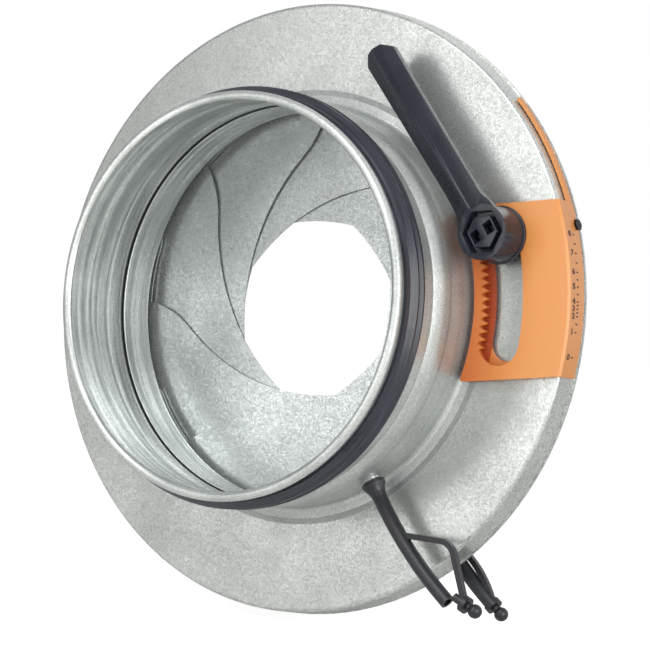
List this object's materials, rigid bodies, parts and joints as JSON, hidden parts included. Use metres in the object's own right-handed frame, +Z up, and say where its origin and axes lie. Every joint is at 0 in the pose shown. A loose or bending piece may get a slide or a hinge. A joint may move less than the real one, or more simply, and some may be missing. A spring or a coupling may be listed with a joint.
{
  "type": "iris damper",
  "caption": "Round-duct iris damper: flat steel drum with two sealed spigots, swinging blades, a toothed orange segment with scale, pinion with ring wrench and measuring tubes",
  "frame": {"origin": "on the duct axis, in the plane of the drum's front face", "axes": "+Y runs along the duct from the front spigot to the rear spigot, +X points to the toothed segment's side, +Z is up"},
  "size_m": [0.2477, 0.123, 0.245],
  "materials": {
    "galvanised_steel": "fine spangled zinc, satin",
    "blade_steel": "fine spangled zinc, dull",
    "plated_steel": "bright zinc plated",
    "blackened_steel": "black",
    "seal_rubber": "matt EPDM",
    "tube_rubber": "matt",
    "orange_plastic": "moulded, satin",
    "black_plastic": "moulded, satin"
  },
  "bodies": {
    "housing": {"front_cover": "galvanised_steel", "rear_cover": "galvanised_steel", "front_collar": "galvanised_steel", "rear_collar": "galvanised_steel", "front_sleeve": "galvanised_steel", "rear_sleeve": "galvanised_steel", "front_gasket": "seal_rubber", "rear_gasket": "seal_rubber", "pivot_studs": "plated_steel", "front_nipple": "plated_steel", "rear_nipple": "plated_steel", "front_tube": "tube_rubber", "rear_tube": "tube_rubber"},
    "ring": {"actuating_ring": "galvanised_steel", "toothed_segment": "orange_plastic", "tie_screw": "blackened_steel"},
    "pinion": {"pinion_gear": "black_plastic", "pinion_clip": "plated_steel", "drive_head": "black_plastic", "wrench": "black_plastic"},
    "swing_blade_1": {"blade_1": "blade_steel", "drive_pin_1": "plated_steel"},
    "swing_blade_2": {"blade_2": "blade_steel", "drive_pin_2": "plated_steel"},
    "swing_blade_3": {"blade_3": "blade_steel", "drive_pin_3": "plated_steel"},
    "swing_blade_4": {"blade_4": "blade_steel", "drive_pin_4": "plated_steel"},
    "swing_blade_5": {"blade_5": "blade_steel", "drive_pin_5": "plated_steel"},
    "swing_blade_6": {"blade_6": "blade_steel", "drive_pin_6": "plated_steel"},
    "swing_blade_7": {"blade_7": "blade_steel", "drive_pin_7": "plated_steel"},
    "swing_blade_8": {"blade_8": "blade_steel", "drive_pin_8": "plated_steel"}
  },
  "joints": [
    {"name": "ring_turn", "type": "hinge", "parent": "housing", "child": "ring", "pos_m": [0, 0, 0], "axis": [0, -1, 0], "range_deg": [0, 24.5]},
    {"name": "pinion_turn", "type": "hinge", "parent": "housing", "child": "pinion", "pos_m": [0.08872, 0, 0.04043], "axis": [0, -1, 0], "range_deg": [-214.5, 0]},
    {"name": "blade_turn_1", "type": "hinge", "parent": "housing", "child": "swing_blade_1", "pos_m": [-0.08521, 0, 0.01487], "axis": [0, -1, 0], "range_deg": [-29.9, 0]},
    {"name": "blade_turn_2", "type": "hinge", "parent": "housing", "child": "swing_blade_2", "pos_m": [-0.07077, 0, -0.04974], "axis": [0, -1, 0], "range_deg": [-29.9, 0]},
    {"name": "blade_turn_3", "type": "hinge", "parent": "housing", "child": "swing_blade_3", "pos_m": [-0.01487, 0, -0.08521], "axis": [0, -1, 0], "range_deg": [-29.9, 0]},
    {"name": "blade_turn_4", "type": "hinge", "parent": "housing", "child": "swing_blade_4", "pos_m": [0.04974, 0, -0.07077], "axis": [0, -1, 0], "range_deg": [-29.9, 0]},
    {"name": "blade_turn_5", "type": "hinge", "parent": "housing", "child": "swing_blade_5", "pos_m": [0.08521, 0, -0.01487], "axis": [0, -1, 0], "range_deg": [-29.9, 0]},
    {"name": "blade_turn_6", "type": "hinge", "parent": "housing", "child": "swing_blade_6", "pos_m": [0.07077, 0, 0.04974], "axis": [0, -1, 0], "range_deg": [-29.9, 0]},
    {"name": "blade_turn_7", "type": "hinge", "parent": "housing", "child": "swing_blade_7", "pos_m": [0.01487, 0, 0.08521], "axis": [0, -1, 0], "range_deg": [-29.9, 0]},
    {"name": "blade_turn_8", "type": "hinge", "parent": "housing", "child": "swing_blade_8", "pos_m": [-0.04974, 0, 0.07077], "axis": [0, -1, 0], "range_deg": [-29.9, 0]}
  ],
  "couplings": [
    {"joint": "pinion_turn", "follows": "ring_turn", "ratio": -8.75},
    {"joint": "blade_turn_1", "follows": "ring_turn", "ratio": -1.2163},
    {"joint": "blade_turn_2", "follows": "ring_turn", "ratio": -1.2163},
    {"joint": "blade_turn_3", "follows": "ring_turn", "ratio": -1.2163},
    {"joint": "blade_turn_4", "follows": "ring_turn", "ratio": -1.2163},
    {"joint": "blade_turn_5", "follows": "ring_turn", "ratio": -1.2163},
    {"joint": "blade_turn_6", "follows": "ring_turn", "ratio": -1.2163},
    {"joint": "blade_turn_7", "follows": "ring_turn", "ratio": -1.2163},
    {"joint": "blade_turn_8", "follows": "ring_turn", "ratio": -1.2163}
  ]
}
